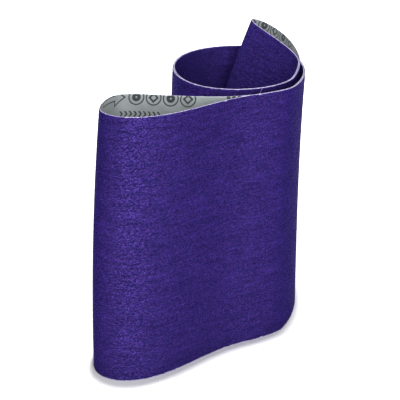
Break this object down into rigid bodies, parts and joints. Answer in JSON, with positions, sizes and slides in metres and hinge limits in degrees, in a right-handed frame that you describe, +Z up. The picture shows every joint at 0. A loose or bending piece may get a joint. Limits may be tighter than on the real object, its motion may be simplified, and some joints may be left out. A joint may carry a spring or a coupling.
{
  "type": "sanding belt",
  "caption": "Wide endless cloth sanding belt with a purple grain face, folded double and rolled up loosely so that it stands on one long edge.",
  "frame": {"origin": "on the floor, under the middle of the belt's own box", "axes": "+Z up, across the belt's width; +Y back, from the outer fold towards the inner fold; +X right"},
  "size_m": [0.1254, 0.203, 0.1716],
  "materials": {
    "cloth": "matt grey-green woven cloth, stiffened with resin",
    "grain": "dull purple resin over sharp grain, rough to the touch",
    "tape": "thin straw-coloured film"
  },
  "bodies": {
    "root": {"cloth_backing": "cloth", "abrasive_coat": "grain", "splice_tape": "tape"}
  },
  "joints": []
}
